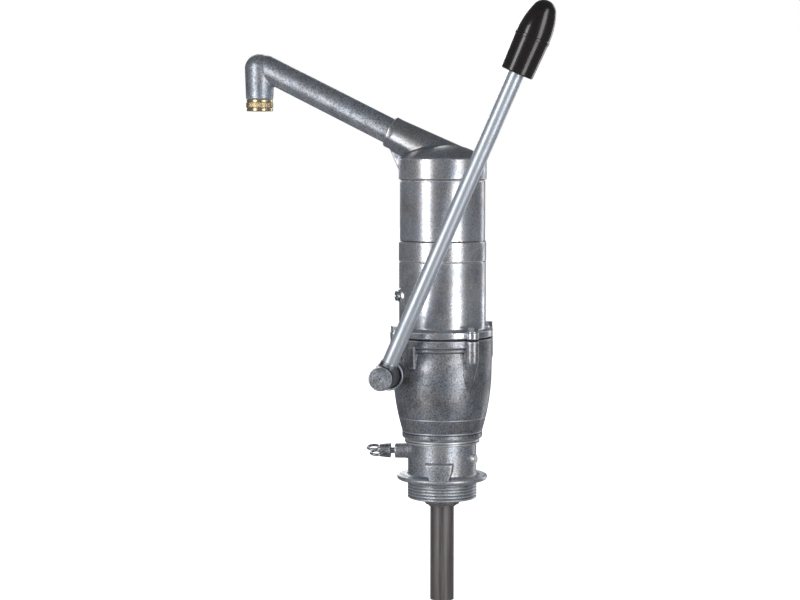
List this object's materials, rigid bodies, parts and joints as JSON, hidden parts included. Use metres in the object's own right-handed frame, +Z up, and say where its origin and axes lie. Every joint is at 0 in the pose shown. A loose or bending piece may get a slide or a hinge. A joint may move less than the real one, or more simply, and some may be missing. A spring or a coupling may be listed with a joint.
{
  "type": "hand well pump",
  "caption": "Cast aluminium lever hand pump with sloping spout, screwed base and suction pipe.",
  "frame": {"origin": "pump axis at the underside of the base flange", "axes": "+Z up the pump axis, -X towards the spout, -Y towards the lever side"},
  "size_m": [0.3436, 0.1465, 0.6187],
  "materials": {
    "cast_aluminium": "raw die casting",
    "steel": "zinc plated",
    "pipe_steel": "dull galvanised",
    "lever_steel": "satin galvanised",
    "brass": "turned",
    "cast_iron": "as cast",
    "rubber": "matt",
    "bakelite": "moulded, glossy"
  },
  "bodies": {
    "base": {"base_casting": "cast_aluminium", "suction_union": "pipe_steel", "suction_pipe": "pipe_steel", "suction_valve_cage": "steel", "swivel_ring": "cast_aluminium", "swivel_seal": "rubber", "retaining_ring": "steel", "side_plug": "cast_aluminium"},
    "foot_valve": {"suction_valve_seal": "rubber", "suction_valve_disc": "steel"},
    "drain_jumper": {"drain_seal": "rubber"},
    "drain_screw": {"drain_wing_screw": "cast_aluminium"},
    "upper_body": {"bowl_housing": "cast_aluminium", "front_bush": "brass", "shaft_seal": "rubber", "shaft_gland": "brass", "rear_bush": "brass", "flange_gasket": "rubber", "flange_bolts": "steel", "flange_washers": "steel", "lower_cylinder": "cast_aluminium", "vent_washer": "rubber", "vent_screw": "steel", "cylinder_seal": "rubber", "upper_tube": "cast_aluminium", "cap_seal": "rubber", "cap": "cast_aluminium", "spout": "cast_aluminium", "outlet_ring": "brass", "outlet_washer": "rubber"},
    "lever": {"lever_shaft": "steel", "lever_hub": "cast_aluminium", "hub_key": "steel", "lever_rod": "lever_steel", "lever_grip": "bakelite", "rocker_arm": "cast_iron", "arm_lock_pin": "steel", "crank_pin": "steel"},
    "roller": {"crank_roller": "brass"},
    "piston_group": {"crosshead": "cast_iron", "piston_rod": "steel", "piston": "brass", "lower_piston_seal": "rubber", "upper_piston_seal": "rubber", "valve_guide": "steel", "rod_nut": "steel"},
    "piston_valve": {"piston_valve_disc": "brass"}
  },
  "joints": [
    {"name": "body_swivel", "type": "hinge", "parent": "base", "child": "upper_body", "pos_m": [0, 0, 0.045], "axis": [0, 0, 1], "range_deg": [-180, 180]},
    {"name": "lever_swing", "type": "hinge", "parent": "upper_body", "child": "lever", "pos_m": [-0.045, 0, 0.1134], "axis": [0, -1, 0], "range_deg": [-7, 54]},
    {"name": "roller_turn", "type": "hinge", "parent": "lever", "child": "roller", "pos_m": [-0.00386, 0, 0.09517], "axis": [0, -1, 0], "continuous": true},
    {"name": "piston_lift", "type": "slide", "parent": "upper_body", "child": "piston_group", "axis": [0, 0, 1], "range_m": [-0.0056, 0.0415]},
    {"name": "piston_valve_lift", "type": "slide", "parent": "piston_group", "child": "piston_valve", "axis": [0, 0, 1], "range_m": [0, 0.0068]},
    {"name": "foot_valve_lift", "type": "slide", "parent": "base", "child": "foot_valve", "axis": [0, 0, 1], "range_m": [0, 0.0068]},
    {"name": "drain_travel", "type": "slide", "parent": "base", "child": "drain_jumper", "axis": [-0.9917, -0.1288, 0], "range_m": [0, 0.0031]},
    {"name": "drain_turn", "type": "hinge", "parent": "drain_jumper", "child": "drain_screw", "pos_m": [-0.04958, -0.00644, 0.0291], "axis": [-0.9917, -0.1288, 0], "range_deg": [0, 1080]}
  ],
  "couplings": [
    {"joint": "piston_lift", "follows": "lever_swing", "m_per_rad": 0.0435},
    {"joint": "drain_travel", "follows": "drain_turn", "m_per_rad": 0.00015915}
  ]
}
